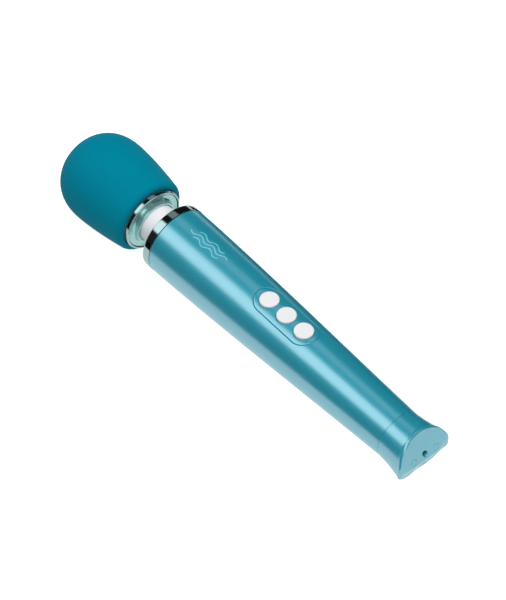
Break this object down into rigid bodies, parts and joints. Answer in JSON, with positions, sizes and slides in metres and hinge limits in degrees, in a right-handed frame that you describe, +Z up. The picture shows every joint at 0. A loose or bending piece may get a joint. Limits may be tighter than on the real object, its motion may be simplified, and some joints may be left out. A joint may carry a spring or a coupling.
{
  "type": "handheld wand massager",
  "caption": "Slim battery wand massager: soft round vibrating head on a bending neck, tapered round handle with push buttons, flared slanted tail with a charging port.",
  "frame": {"origin": "middle of the overall box, on the floor that the wand lies on", "axes": "+X along the wand from the head to the tail, +Z up out of the button side, +Y across the wand"},
  "size_m": [0.2498, 0.0468, 0.0468],
  "materials": {
    "pearl_paint": "pearl metallic light-teal paint, glossy",
    "chrome": "mirror plated",
    "tinted_chrome": "polished plating with a light aqua tint",
    "teal_silicone": "matte soft-touch silicone",
    "white_silicone": "smooth matte silicone",
    "white_plastic": "semi-gloss",
    "black_plastic": "moulded",
    "grey_plastic": "moulded",
    "black_rubber": "moulded",
    "steel": "plain steel",
    "zinc_steel": "zinc plated",
    "brass": "sintered or turned",
    "copper": "copper windings and segments",
    "ferrite": "sintered ferrite",
    "cell_sleeve": "shrink sleeve",
    "board_green": "solder mask on glass fibre",
    "lead_red": "insulated lead",
    "lead_black": "insulated lead"
  },
  "bodies": {
    "handle": {"handle_tube": "pearl_paint", "collar_ring": "chrome", "button_panel": "pearl_paint", "tail_cap": "pearl_paint", "tail_seal": "black_rubber", "screw_cover_left": "pearl_paint", "screw_cover_right": "pearl_paint", "tail_screw_left": "zinc_steel", "tail_screw_right": "zinc_steel", "jack_housing": "black_plastic", "jack_sleeve": "steel", "jack_pin": "brass", "end_frame": "grey_plastic", "carrier_back": "grey_plastic", "carrier_front": "grey_plastic", "carrier_screw_low": "zinc_steel", "carrier_screw_high": "zinc_steel", "battery_cell": "cell_sleeve", "battery_tab_minus": "steel", "battery_tab_plus": "steel", "circuit_board": "board_green", "board_screw_low": "zinc_steel", "board_screw_high": "zinc_steel", "switch_lower": "black_plastic", "switch_middle": "black_plastic", "switch_upper": "black_plastic", "control_chip": "black_plastic", "charge_chip": "black_plastic", "motor_connector": "white_plastic", "keypad_membrane": "white_silicone", "lead_charge": "lead_black", "lead_minus": "lead_black", "lead_plus": "lead_red", "neck_socket": "white_plastic"},
    "neck": {"neck_core": "white_plastic", "neck_spring": "steel", "neck_boot": "white_silicone"},
    "head": {"head_cap": "teal_silicone", "head_base": "tinted_chrome", "head_ring": "chrome", "head_shell": "grey_plastic", "head_screw_1": "zinc_steel", "head_screw_2": "zinc_steel", "head_screw_3": "zinc_steel", "motor_can": "zinc_steel", "motor_bell": "black_plastic", "motor_sleeve": "black_rubber", "bush_top": "brass", "bush_bottom": "brass", "magnet_left": "ferrite", "magnet_right": "ferrite"},
    "rotor": {"eccentric_weight": "steel", "rotor_shaft": "steel", "rotor_core": "copper", "commutator": "copper", "weight_screw": "zinc_steel"},
    "button_lower": {"button_lower": "white_plastic"},
    "button_middle": {"button_middle": "white_plastic"},
    "button_upper": {"button_upper": "white_plastic"}
  },
  "joints": [
    {"name": "neck_pitch", "type": "hinge", "parent": "handle", "child": "neck", "pos_m": [-0.05795, 0, 0.02149], "axis": [0, 1, 0], "range_deg": [-15, 15], "stiffness_Nm_per_rad": 2.5, "deforming": ["neck_spring", "neck_boot"]},
    {"name": "neck_sway", "type": "hinge", "parent": "neck", "child": "head", "pos_m": [-0.06394, 0, 0.02175], "axis": [0.0437, 0, 0.999], "range_deg": [-15, 15], "stiffness_Nm_per_rad": 2.5},
    {"name": "rotor_spin", "type": "hinge", "parent": "head", "child": "rotor", "pos_m": [-0.07723, 0, 0.02233], "axis": [-0.999, 0, 0.0437], "continuous": true},
    {"name": "button_lower_press", "type": "slide", "parent": "handle", "child": "button_lower", "axis": [-0.0437, 0, -0.999], "range_m": [0, 0.0007], "stiffness_N_per_m": 1500, "springref_m": -0.0003},
    {"name": "button_middle_press", "type": "slide", "parent": "handle", "child": "button_middle", "axis": [-0.0437, 0, -0.999], "range_m": [0, 0.0007], "stiffness_N_per_m": 1500, "springref_m": -0.0003},
    {"name": "button_upper_press", "type": "slide", "parent": "handle", "child": "button_upper", "axis": [-0.0437, 0, -0.999], "range_m": [0, 0.0007], "stiffness_N_per_m": 1500, "springref_m": -0.0003}
  ]
}
